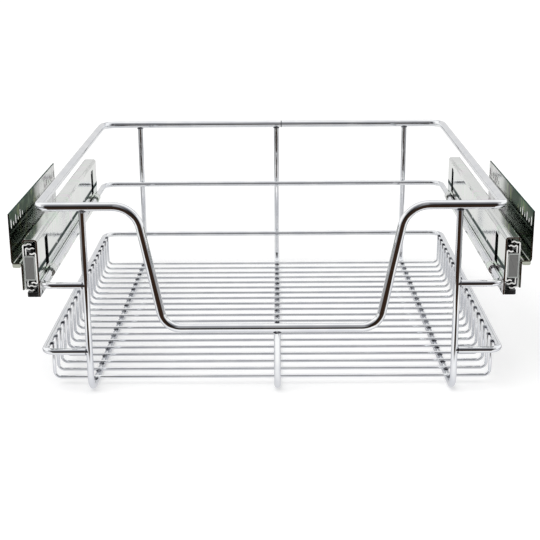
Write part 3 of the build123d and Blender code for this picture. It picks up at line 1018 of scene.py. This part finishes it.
@dataclass
class WireBasket:
    """The welded basket. Its sizes are in millimetres, to the wires' middle lines."""

    rail_wire: float = 8.0
    frame_wire: float = 6.0
    floor_wire: float = 3.0
    rail_half_width: float = 203.5
    rail_half_depth: float = 202.5
    rail_height: float = 176.0
    rail_back_bend: float = 15.0
    rail_front_bend: float = 10.0
    dip_height: float = 63.0
    dip_top_half_width: float = 118.5
    dip_low_half_width: float = 96.0
    dip_top_bend: float = 24.0
    dip_low_bend: float = 18.0
    seam_x: float = 11.0
    seam_width: float = 1.0
    seam_rise: float = 0.15
    seam_edge: float = 0.12
    bead_uneven: float = 0.12
    rim_bead_out: float = 0.5
    rim_bead_up: float = 0.2
    carrier_half_width: float = 204.5
    carrier_height: float = 104.0
    rim_half_width: float = 206.5
    rim_height: float = 41.0
    ring_back_bend: float = 15.0
    ring_front_bend: float = 10.0
    post_front_x: float = 165.0
    post_back_x: float = 159.0
    end_in_post: float = 1.0
    top_in_rail: float = 2.0
    middle_x: float = 5.0
    stringer_bend: float = 14.0
    floor_wires: int = 20
    floor_pitch: float = 19.0
    floor_half_width: float = 202.2
    floor_bend: float = 6.0
    floor_height: float = 7.3
    floor_tip_height: float = 43.0
    floor_tip_round: float = 0.35
    ring_back_y: float = 196.7

    def build(self, shop: Workshop) -> None:
        """Model and dress every wire and weld.

        Args:
            shop: the finishes.
        """
        self.build_rail(shop)
        self.build_rings(shop)
        self.build_stringers(shop)
        self.build_floor(shop)
        self.build_welds(shop)

    def build_rail(self, shop: Workshop) -> None:
        """The closed top rail with the hand dip in its front.

        Args:
            shop: the finishes.
        """
        w, d, z = self.rail_half_width, self.rail_half_depth, self.rail_height
        top, low = self.dip_top_half_width, self.dip_low_half_width
        corners = [(self.seam_x, d, z), (w, d, z), (w, -d, z), (top, -d, z),
                   (low, -d, self.dip_height), (-low, -d, self.dip_height), (-top, -d, z),
                   (-w, -d, z), (-w, d, z), (self.seam_x, d, z)]
        half = [self.rail_back_bend, self.rail_front_bend, self.dip_top_bend, self.dip_low_bend]
        rail = wire("top_rail_wire", self.rail_wire, corners, half + half[::-1], sides=32, steps=12,
                    closed=True)
        shop.mount(rail, Finish.CHROME, BASKET, "top_rail")

    def build_rings(self, shop: Workshop) -> None:
        """The two lower rings, which are open at the front.

        Args:
            shop: the finishes.
        """
        sizes = {"carrier": (self.carrier_half_width, self.carrier_height),
                 "rim": (self.rim_half_width, self.rim_height)}
        front, back = -self.rail_half_depth, self.ring_back_y
        end = self.post_front_x + self.end_in_post
        bends = [self.ring_front_bend, self.ring_back_bend]
        for name, (half, height) in sizes.items():
            corners = [(-end, front, height), (-half, front, height), (-half, back, height),
                       (half, back, height), (half, front, height), (end, front, height)]
            ring = wire(f"{name}_ring", self.frame_wire, corners, bends + bends[::-1], sides=28,
                        steps=10)
            shop.mount(ring, Finish.CHROME, BASKET, f"{name}_wire")

    def stringers(self) -> dict[str, tuple[float, float, float]]:
        """The stringers' X at the front and at the back, and the height of the front top."""
        return {"left": (-self.post_front_x, -self.post_back_x, self.rail_height),
                "middle": (self.middle_x, self.middle_x, self.dip_height),
                "right": (self.post_front_x, self.post_back_x, self.rail_height)}

    def build_stringers(self, shop: Workshop) -> None:
        """The three wires that are front post, floor bar and back post in one.

        Args:
            shop: the finishes.
        """
        d, low, inside = self.rail_half_depth, self.frame_wire / 2, self.top_in_rail
        for name, (front_x, back_x, top) in self.stringers().items():
            corners = [(front_x, -d, top - inside), (front_x, -d, low), (back_x, d, low),
                       (back_x, d, self.rail_height - inside)]
            bar = wire(f"stringer_bar_{name}", self.frame_wire, corners, [self.stringer_bend] * 2,
                       sides=28, steps=10)
            shop.mount(bar, Finish.CHROME, BASKET, f"stringer_{name}")

    def floor_places(self) -> list[float]:
        """Y of every floor wire."""
        middle = (self.floor_wires - 1) / 2
        return [(i - middle) * self.floor_pitch for i in range(self.floor_wires)]

    def build_floor(self, shop: Workshop) -> None:
        """The floor wires: one is modelled, and the others are its copies.

        Args:
            shop: the finishes.
        """
        w, high, low = self.floor_half_width, self.floor_tip_height, self.floor_height
        corners = [(-w, 0, high), (-w, 0, low), (w, 0, low), (w, 0, high)]
        pattern = wire("floor_rod", self.floor_wire, corners, [self.floor_bend] * 2, sides=16,
                       steps=8, tip=self.floor_tip_round)
        for i, y in enumerate(self.floor_places()):
            rod = copied(pattern, f"floor_rod_{i + 1:02d}", Matrix.Translation((0, y * MM, 0)))
            shop.mount(rod, Finish.CHROME, BASKET, f"floor_wire_{i + 1:02d}")
        bpy.data.objects.remove(pattern)

    def build_welds(self, shop: Workshop) -> None:
        """The small beads where two wires are welded together, and the rail's butt weld.

        Args:
            shop: the finishes.
        """
        groups = {"floor_welds": (self.floor_crossings(), (3.1, 2.7, 0.9)),
                  "rim_welds": (self.rim_places(), (1.9, 2.4, 1.7)),
                  "post_welds": (self.post_crossings(), (2.4, 0.8, 2.4)),
                  "butt_welds": (self.butt_places(), (2.4, 3.25, 3.25)),
                  "post_top_welds": (self.post_tops(), (3.9, 3.9, 1.7))}
        for name, (places, size) in groups.items():
            self.group(shop, name, places, size)
        ends = [(self.seam_x + side * self.seam_width / 2, self.rail_half_depth, self.rail_height)
                for side in (-1, 1)]
        seam = wire("rail_seam_weld", self.rail_wire + 2 * self.seam_rise, ends, [], sides=32)
        shop.mount(rounded(seam, self.seam_edge), Finish.WELD, BASKET)

    def floor_crossings(self) -> list[Corner]:
        """Where the floor wires cross the stringers."""
        d, height = self.rail_half_depth, self.frame_wire
        return [(front_x + (back_x - front_x) * (y + d) / (2 * d), y, height)
                for y in self.floor_places() for front_x, back_x, _ in self.stringers().values()]

    def rim_places(self) -> list[Corner]:
        """Where the floor wires' tips lie against the rim."""
        x, height = self.floor_half_width + self.rim_bead_out, self.rim_height + self.rim_bead_up
        return [(side * x, y, height) for side in (-1, 1) for y in self.floor_places()]

    def post_crossings(self) -> list[Corner]:
        """Where the rings cross in front of the back posts."""
        y = self.rail_half_depth - self.frame_wire / 2
        return [(back_x, y, height) for _, back_x, _ in self.stringers().values()
                for height in (self.carrier_height, self.rim_height)]

    def butt_places(self) -> list[Corner]:
        """Where the rings' ends butt against the front posts."""
        x = self.post_front_x + self.frame_wire / 2
        return [(side * x, -self.rail_half_depth, height) for side in (-1, 1)
                for height in (self.carrier_height, self.rim_height)]

    def post_tops(self) -> list[Corner]:
        """Where the posts end under the top rail.

        Returns:
            The places.
        """
        drop, d = self.rail_wire / 2, self.rail_half_depth
        tops = []
        for front_x, back_x, top in self.stringers().values():
            tops.append((front_x, -d, top - drop))
            tops.append((back_x, d, self.rail_height - drop))
        return tops

    def group(self, shop: Workshop, name: str, places: list[Corner], size: Corner) -> None:
        """One bead, copied to every place.

        Args:
            shop: the finishes.
            name: the group's name.
            places: the beads' middles.
            size: half of a bead's size on each axis.
        """
        bead = begin(name, bpy.ops.mesh.primitive_ico_sphere_add, subdivisions=2, radius=MM)
        with editing(bead):
            bpy.ops.transform.resize(value=size)
            bpy.ops.transform.vertex_random(offset=self.bead_uneven * MM, seed=3)
        smooth(bead, degrees=80)
        beads = [copied(bead, f"{name}_{i}", Matrix.Translation(Vector(place) * MM))
                 for i, place in enumerate(places)]
        bpy.data.objects.remove(bead)
        shop.mount(joined(beads, name), Finish.WELD, BASKET)


@dataclass
class HookPlate:
    """The L-shaped plate that hangs on the carrier wire. Sizes in millimetres, on the right."""

    sheet: float = 1.6
    inner_x: float = 207.55
    reach: float = 13.4
    bottom: float = 90.5
    top: float = 144.0
    lip: float = 3.1
    bend: float = 2.0
    lip_bend: float = 1.3
    edge: float = 0.22
    back: float = 155.5
    tab_places: tuple[float, float] = (-154.5, 123.0)
    tab_width: float = 13.5
    tab_sheet: float = 1.5
    tab_radius: float = 3.85
    tab_wrap: float = 300.0
    tab_run: float = 1.2
    wire_x: float = WireBasket.carrier_half_width
    wire_z: float = WireBasket.carrier_height
    slot_width: float = 14.0
    slot_bottom: float = 109.0
    slot_height: float = 28.0
    slot_corner: float = 0.8
    rivet: float = 4.0
    rivet_z: float = 117.5
    rivet_places: tuple[float, ...] = (-104.5, -19.5, 65.5)
    peg: float = 3.2

    def build(self, shop: Workshop) -> None:
        """Model both plates and dress them.

        Args:
            shop: the finishes.
        """
        half = self.sheet / 2
        x, out, top = self.inner_x + half, self.inner_x + self.reach - half, self.top - half
        corners = [(x, self.bottom), (x, top), (out, top), (out, self.top - self.lip)]
        plate = sheet("hook_sheet_right", corners, [self.bend, self.lip_bend], self.sheet, FRONT,
                      self.back)
        cut(plate, self.openings(x))
        tabs = [self.tab(y) for y in self.tab_places]
        plate = joined([rounded(plate, self.edge)] + tabs, "hook_sheet_right")
        shop.mount_pair(plate, Finish.ZINC, BASKET, "hook_plate")

    def openings(self, x: float) -> list[bpy.types.Object]:
        """The bars that cut the tabs' slots, the rivet holes and the peg hole.

        Args:
            x: the web's middle.

        Returns:
            The bars.
        """
        depth, half = 3 * self.sheet, self.slot_width / 2
        bars = []
        for y in self.tab_places:
            bar = block("cutter", (x - depth / 2, y - half, self.slot_bottom),
                        (x + depth / 2, y + half, self.slot_bottom + self.slot_height))
            with editing(bar):
                pick_edges(bar, lambda a, b: abs(a.x - b.x) > depth * MM / 2)
                bpy.ops.mesh.bevel(offset=self.slot_corner * MM, segments=3, affect="EDGES")
            bars.append(bar)
        bars += [slot_cutter((x, y, self.rivet_z), 0, self.rivet, depth) for y in self.rivet_places]
        bars.append(slot_cutter((x, *PEG_PLACE), 0, self.peg, depth))
        return bars

    def tab(self, y: float) -> bpy.types.Object:
        """One tab, a strip spun round the carrier wire.

        Args:
            y: the tab's middle.

        Returns:
            The tab.
        """
        start = Vector((self.wire_x + self.tab_radius, y, self.wire_z - self.tab_run / 2))
        strip = begin("tab", bpy.ops.mesh.primitive_plane_add, size=MM, location=start * MM,
                      rotation=(0, pi / 2, 0))
        with editing(strip):
            bpy.ops.mesh.select_all(action="SELECT")
            bpy.ops.transform.resize(value=(1, self.tab_width, self.tab_run),
                                     center_override=start * MM)
            pick_edges(strip, lambda a, b: min(a.z, b.z) > self.wire_z * MM - TINY)
            bpy.ops.mesh.spin(steps=26, angle=radians(self.tab_wrap), axis=(0, 1, 0),
                              center=Vector((self.wire_x, y, self.wire_z)) * MM)
            close_and_turn_out()
        modify(strip, "SOLIDIFY", thickness=self.tab_sheet * MM, offset=0.0, use_even_offset=True)
        return rounded(strip, BROKEN_EDGE)


@dataclass
class WallBracket:
    """The Z-shaped bracket on the cabinet's side. Sizes in millimetres, on the right."""

    sheet: float = 1.5
    inner_x: float = 221.85
    outer_x: float = 232.0
    flange_edge: float = 97.0
    shelf_top: float = 122.5
    top: float = 167.5
    bend: float = 2.2
    edge: float = 0.25
    back: float = 21.5
    lip: float = 4.5
    lip_to_flange: float = 0.25
    lip_inset: float = 1.0
    lip_corner: float = 1.4
    hole: float = 4.6
    hole_drop: float = 12.0
    slot_drop: float = 10.5
    low_slot_drop: float = 25.0
    slot_length: float = 9.0
    low_slot_length: float = 13.0
    pitch: float = 9.5
    per_group: int = 6
    first: float = 6.5
    rivet: float = 4.0
    rivet_z: float = 108.5
    rivet_places: tuple[float, ...] = (-168.5, -86.5, -4.5)

    def build(self, shop: Workshop) -> None:
        """Model both brackets and dress them.

        Args:
            shop: the finishes.
        """
        half = self.sheet / 2
        x, out, shelf = self.inner_x + half, self.outer_x - half, self.shelf_top - half
        corners = [(x, self.flange_edge), (x, shelf), (out, shelf), (out, self.top)]
        bracket = sheet("wall_sheet_right", corners, [self.bend] * 2, self.sheet, FRONT, self.back)
        cut(bracket, self.openings(x, out))
        bracket = joined([rounded(bracket, self.edge), self.shelf_lip()], "wall_sheet_right")
        shop.mount_pair(bracket, Finish.BRACKET, CABINET, "wall_bracket")

    def openings(self, x: float, out: float) -> list[bpy.types.Object]:
        """The bars that cut the screw openings and the rivet holes.

        Args:
            x: the flange's middle.
            out: the wall plate's middle.

        Returns:
            The bars.
        """
        depth = 3 * self.sheet
        bars = []
        for end, sign in ((FRONT, 1), (self.back, -1)):
            for i in range(self.per_group):
                y = end + sign * (self.first + i * self.pitch)
                drop, length = (self.hole_drop, 0) if i % 2 else (self.slot_drop, self.slot_length)
                bars.append(slot_cutter((out, y, self.top - drop), length, self.hole, depth))
        low_place = (out, self.back - self.first - self.pitch, self.top - self.low_slot_drop)
        bars.append(slot_cutter(low_place, self.low_slot_length, self.hole, depth))
        bars += [slot_cutter((x, y, self.rivet_z), 0, self.rivet, depth) for y in self.rivet_places]
        return bars

    def shelf_lip(self) -> bpy.types.Object:
        """The lip folded down at the shelf's front.

        Returns:
            The lip.
        """
        low, high = self.shelf_top - self.lip, self.shelf_top - self.sheet / 2
        near = self.inner_x + self.sheet + self.lip_to_flange
        far = self.outer_x - self.lip_inset
        lip = block("lip", (near, FRONT, low), (far, FRONT + self.sheet, high))
        with editing(lip):
            pick_edges(lip, lambda a, b: abs(a.y - b.y) > self.sheet * MM / 2
                       and max(a.z, b.z) < (low + high) / 2 * MM)
            bpy.ops.mesh.bevel(offset=self.lip_corner * MM, segments=4, affect="EDGES")
        return rounded(lip, BROKEN_EDGE)


@dataclass
class FrontMouldings:
    """The grey buffer and the black foot block. Sizes in millimetres, on the right."""

    web_x: float = 210.45
    head_x: float = 220.75
    plug_x: float = 217.75
    head: float = 2.5
    head_corner: float = 1.5
    head_edge: float = 0.14
    plug: float = 12.0
    middle_z: float = 117.5
    half_height: float = 11.4
    rim: float = 1.2
    recess: float = 0.35
    foot_x: float = 209.15
    foot_reach: float = 10.4
    foot_length: float = 22.0
    foot_bottom: float = 90.5
    foot_top: float = 94.6
    foot_corner: float = 2.0
    foot_edge: float = 0.35
    peg: float = 3.0
    peg_end: float = 207.25
    peg_in_foot: float = 1.0

    def build(self, shop: Workshop) -> None:
        """Model both sides' mouldings and dress them.

        Args:
            shop: the finishes.
        """
        buffer, foot = self.buffer(), self.foot()
        shop.mount_pair(buffer, Finish.GREY, BASKET, "front_buffer")
        shop.mount_pair(foot, Finish.BLACK, BASKET, "foot_block")

    def buffer(self) -> bpy.types.Object:
        """The buffer: a head with a sunk front panel, and a plug behind it.

        Returns:
            The right-hand buffer.
        """
        low, high = self.middle_z - self.half_height, self.middle_z + self.half_height
        face = FRONT + self.head
        head = block("buffer_right", (self.web_x, FRONT, low), (self.head_x, face, high))
        with editing(head):
            pick_edges(head, lambda a, b: abs(a.y - b.y) > self.head * MM / 2)
            bpy.ops.mesh.bevel(offset=self.head_corner * MM, segments=4, affect="EDGES")
            pick_faces(head, lambda middle, normal: normal.y < -0.9)
            bpy.ops.mesh.inset(thickness=self.rim * MM)
            bpy.ops.mesh.extrude_region_move(
                TRANSFORM_OT_translate={"value": (0, self.recess * MM, 0)})
            bpy.ops.mesh.inset(thickness=self.recess * MM)
        plug = block("plug", (self.web_x, face, low), (self.plug_x, face + self.plug, high))
        with editing(plug):
            pick_faces(plug, lambda middle, normal: normal.y > 0.9)
            bpy.ops.mesh.bevel(offset=MM, segments=2, affect="EDGES")
        return joined([rounded(head, self.head_edge), rounded(plug, BROKEN_EDGE)],
                      "buffer_right")

    def foot(self) -> bpy.types.Object:
        """The block under the runner's front, with the peg that holds it.

        Returns:
            The right-hand block.
        """
        foot = block("foot_right", (self.foot_x, FRONT, self.foot_bottom),
                     (self.foot_x + self.foot_reach, FRONT + self.foot_length, self.foot_top))
        outer = (self.foot_x + self.foot_reach / 2) * MM
        with editing(foot):
            pick_edges(foot, lambda a, b: abs(a.z - b.z) > MM and a.x > outer)
            bpy.ops.mesh.bevel(offset=self.foot_corner * MM, segments=4, affect="EDGES")
        span = self.foot_x + self.peg_in_foot - self.peg_end
        peg = slot_cutter((self.peg_end + span / 2, *PEG_PLACE), 0, self.peg, span)
        return joined([rounded(foot, self.foot_edge), rounded(peg, BROKEN_EDGE)], "foot_right")


@dataclass
class Runner:
    """The two ball-bearing runners, whose members, balls and cages keep their solids."""

    finishes: dict[str, Finish] = field(default_factory=lambda: {
        "drawer_member": Finish.RUNNER, "middle_member": Finish.RUNNER,
        "cabinet_member": Finish.RUNNER, "inner_cage": Finish.RUNNER, "outer_cage": Finish.RUNNER,
        "inner_balls": Finish.BALL, "outer_balls": Finish.BALL, "inner_guides": Finish.BLACK,
        "outer_guides": Finish.BLACK, "plate_rivets": Finish.RUNNER,
        "bracket_rivets": Finish.RUNNER})

    def build(self, shop: Workshop) -> None:
        """Dress every piece of both runners.

        Args:
            shop: the finishes.
        """
        for name, finish in self.finishes.items():
            for side in ("left", "right"):
                shop.dress_node(f"{name}_{side}", finish)
                LOG.info("%s_%s: %s", name, side, finish.value)


# ---- the studio ------------------------------------------------------------------------------
@dataclass
class Studio:
    """The pale floor, the soft light, and the far cards that the chrome mirrors. In metres."""

    floor_size: float = 16.0
    floor_drop: float = 0.0002
    floor_colour: Colour = (0.80, 0.80, 0.80)
    floor_glow: float = 0.30
    world_light: float = 0.68
    sun_power: float = 1.15
    sun_spread: float = 50.0
    sun_way: Corner = (0.35, 0.30, -1.0)
    table_front: float = -0.38
    table_side: float = 0.47
    table_back: float = 0.5
    front_blur: float = 0.02
    side_blur: float = 0.06
    notch_inner: tuple[float, float] = (0.09, 0.13)
    notch_outer: tuple[float, float] = (0.30, 0.24)
    notch_depth: float = 0.10
    dark_floor: Colour = (0.034, 0.019, 0.012)
    pale_floor: Colour = (0.34, 0.34, 0.35)
    far: float = 4.0
    card_foot: float = -0.1
    room_half_width: float = 9.0
    room_high: float = 5.6
    ceiling_end: float = -0.6
    back_half_width: float = 4.0
    back_high: float = 3.6

    def build(self) -> None:
        """Build the whole studio."""
        bpy.context.scene.view_settings.view_transform = "Standard"
        self.build_world()
        self.build_floor()
        self.build_cards()
        self.build_sun()

    def build_world(self) -> None:
        """White for the camera and in reflections, and soft light for the rest."""
        s = Shader("white_studio", world=True)
        seen = s.larger(s.larger(s.ray(Ray.CAMERA), s.ray(Ray.GLOSSY)), s.ray(Ray.TRANSMISSION))
        light = {"Color": (1.0, 1.0, 1.0), "Strength": seen.span(self.world_light, 1.0)}
        bpy.context.scene.world = s.finish(s.node("ShaderNodeBackground", None, light)[0])

    def card(self, name: str, low: Corner, high: Corner) -> bpy.types.Object:
        """A flat stage card between two corners, level in the axis where they are equal.

        Args:
            name: the card's name.
            low: its lowest corner, in metres.
            high: its highest corner.

        Returns:
            The card.
        """
        low, high = Vector(low), Vector(high)
        size, middle = high - low, (low + high) / 2
        flat = min(range(3), key=lambda axis: size[axis])
        turn = {0: (0, pi / 2, 0), 1: (pi / 2, 0, 0), 2: (0, 0, 0)}[flat]
        piece = begin(name, bpy.ops.mesh.primitive_grid_add, x_subdivisions=4, y_subdivisions=4,
                      size=1.0, location=middle, rotation=turn)
        with editing(piece):
            bpy.ops.mesh.select_all(action="SELECT")
            scale = [value if value > TINY else 1.0 for value in size]
            bpy.ops.transform.resize(value=scale, center_override=middle)
        return piece

    def build_floor(self) -> None:
        """A white floor that keeps the object's shadow, and a bright table top in the chrome."""
        half = self.floor_size / 2
        floor = self.card("floor", (-half, -half, -self.floor_drop), (half, half, -self.floor_drop))
        s = Shader("pale_floor")
        white = s.node("ShaderNodeBsdfDiffuse", None, {"Color": self.floor_colour})[0]
        glow = s.node("ShaderNodeEmission", None, {"Strength": self.floor_glow})[0]
        both = s.node("ShaderNodeAddShader", None, {0: white, 1: glow})[0]
        seen = s.node("ShaderNodeEmission", None, {"Color": self.floor_light(s)})[0]
        floor.data.materials.append(s.finish(s.mixed(s.ray(Ray.GLOSSY), both, seen)))

    def floor_light(self, s: Shader) -> Value:
        """The floor in the chrome: a white table top that is grey under and behind the object, as a
        painted shadow of it, and a dim room floor round it.

        Args:
            s: the floor's shader.

        Returns:
            The colour.
        """
        across, along, _ = s.axes()
        sides = across.absolute()
        notch = sides.ramp(*self.notch_inner) * sides.ramp(*self.notch_outer) * self.notch_depth
        front = (along - notch).ramp(self.table_front + self.front_blur,
                                     self.table_front - self.front_blur)
        off = s.larger(front, sides.ramp(self.table_side, self.table_side + self.side_blur))
        # painted shadow: in the chrome the table top is grey under and behind the object
        table = s.tints(s.share(along, self.table_front, self.table_back), [
            (0.0, (1.0, 1.0, 1.0)), (0.12, (1.0, 1.0, 1.0)), (0.19, (0.78, 0.78, 0.80)),
            (0.27, (0.52, 0.52, 0.54)), (0.50, (0.52, 0.52, 0.54)), (0.66, (0.78, 0.78, 0.78)),
            (1.0, (0.80, 0.80, 0.80))])
        room = s.blend((sides + along * 0.8).ramp(-0.15, 0.35), self.dark_floor, self.pale_floor)
        return s.blend(off, table, room)

    def mirror_card(self, name: str, low: Corner, high: Corner,
                    light: Callable[[Shader], Value]) -> None:
        """A card that shows in the chrome and nowhere else.

        Args:
            name: the card's name.
            low: its lowest corner.
            high: its highest corner.
            light: gives the card's colour.
        """
        piece = self.card(name, low, high)
        s = Shader(name)
        glow = s.node("ShaderNodeEmission", None, {"Color": light(s)})[0]
        piece.data.materials.append(s.finish(glow))
        for ray in ("camera", "diffuse", "shadow", "transmission", "volume_scatter"):
            setattr(piece, f"visible_{ray}", False)

    def room_light(self, s: Shader) -> Value:
        """The dim room in front: darkest in its middle, at the height of the camera and below.

        Args:
            s: the card's shader.

        Returns:
            The colour.
        """
        across, _, up = s.axes()
        height, sides = s.share(up, 0.0, self.room_high), across.absolute()
        middle = s.tints(height, [
            (0.0, (0.010, 0.009, 0.009)), (0.08, (0.012, 0.012, 0.012)),
            (0.20, (0.12, 0.12, 0.12)), (0.37, (0.26, 0.26, 0.27)), (1.0, (0.42, 0.42, 0.44))])
        aside = s.tints(height, [
            (0.0, (0.014, 0.011, 0.010)), (0.27, (0.014, 0.013, 0.013)),
            (0.42, (0.08, 0.08, 0.085)), (0.9, (0.24, 0.24, 0.26)), (1.0, (0.30, 0.30, 0.32))])
        upward = s.blend(sides.ramp(0.35, 0.75), middle, aside)
        outer = s.tints(height, [(0.0, (0.45, 0.45, 0.46)), (1.0, (0.80, 0.80, 0.81))])
        return s.blend(sides.ramp(2.8, 5.5), upward, outer)

    def ceiling_light(self, s: Shader) -> Value:
        """The ceiling, brighter towards the object."""
        return s.tints(s.share(s.axes()[1], -self.far, self.ceiling_end), [
            (0.0, (0.31, 0.31, 0.33)), (0.5, (0.40, 0.40, 0.42)), (0.85, (0.62, 0.62, 0.63)),
            (1.0, (1.0, 1.0, 1.0))])

    def back_light(self, s: Shader) -> Value:
        """The soft grey behind the object, which is palest low down."""
        return s.tints(s.share(s.axes()[2], 0.0, self.back_high), [
            (0.0, (0.76, 0.76, 0.76)), (0.45, (0.72, 0.72, 0.73)), (0.8, (0.56, 0.56, 0.58))])

    def build_cards(self) -> None:
        """The cards in front and above, seen as the wires' dark lines, and the one behind."""
        half, far, back = self.room_half_width, self.far, self.back_half_width
        self.mirror_card("dim_room", (-half, -far, self.card_foot), (half, -far, self.room_high),
                         self.room_light)
        self.mirror_card("ceiling_card", (-half, -far, self.room_high),
                         (half, self.ceiling_end, self.room_high), self.ceiling_light)
        self.mirror_card("back_card", (-back, far, self.card_foot), (back, far, self.back_high),
                         self.back_light)

    def build_sun(self) -> None:
        """One broad, soft lamp from the upper left."""
        data = bpy.data.lights.new("soft_sun", "SUN")
        data.energy = self.sun_power
        data.angle = radians(self.sun_spread)
        lamp = bpy.data.objects.new("soft_sun", data)
        lamp.rotation_euler = Vector(self.sun_way).to_track_quat("-Z", "Y").to_euler()
        lamp.visible_glossy = False
        bpy.context.scene.collection.objects.link(lamp)


@dataclass
class StudioCamera:
    """The photograph's camera. Its focal length is in pixels of a 540 pixel wide picture."""

    place: Corner = (5.5, -1179.0, 420.2)
    pitch: float = 17.23
    yaw: float = 0.385
    roll: float = -0.425
    focal: float = 1155.0
    width: float = 540.0
    sensor: float = 36.0
    near: float = 0.05

    def build(self) -> None:
        """Set the camera up and make it the scene's."""
        pitch, yaw, roll = radians(self.pitch), radians(self.yaw), radians(self.roll)
        right = Vector((cos(yaw), sin(yaw), 0))
        level = Vector((-sin(yaw), cos(yaw), 0))
        ahead = level * cos(pitch) - Vector((0, 0, 1)) * sin(pitch)
        up = level * sin(pitch) + Vector((0, 0, 1)) * cos(pitch)
        side = right * cos(roll) + up * sin(roll)
        top = up * cos(roll) - right * sin(roll)
        data = bpy.data.cameras.new("camera")
        data.sensor_width = self.sensor
        data.lens = self.focal / self.width * self.sensor
        data.clip_start = self.near
        camera = bpy.data.objects.new("camera", data)
        camera.matrix_world = (Matrix.Translation(Vector(self.place) * MM)
                               @ Matrix((side, top, -ahead)).transposed().to_4x4())
        bpy.context.scene.collection.objects.link(camera)
        bpy.context.scene.camera = camera


def main() -> None:
    """Build the basket, its runners and the studio."""
    logging.basicConfig(level=logging.INFO, format="%(name)s: %(message)s")
    shop = Workshop()
    for part in (WireBasket(), HookPlate(), WallBracket(), FrontMouldings(), Runner()):
        LOG.info("building %s", type(part).__name__)
        part.build(shop)
    Studio().build()
    StudioCamera().build()


if __name__ == "__main__":
    main()
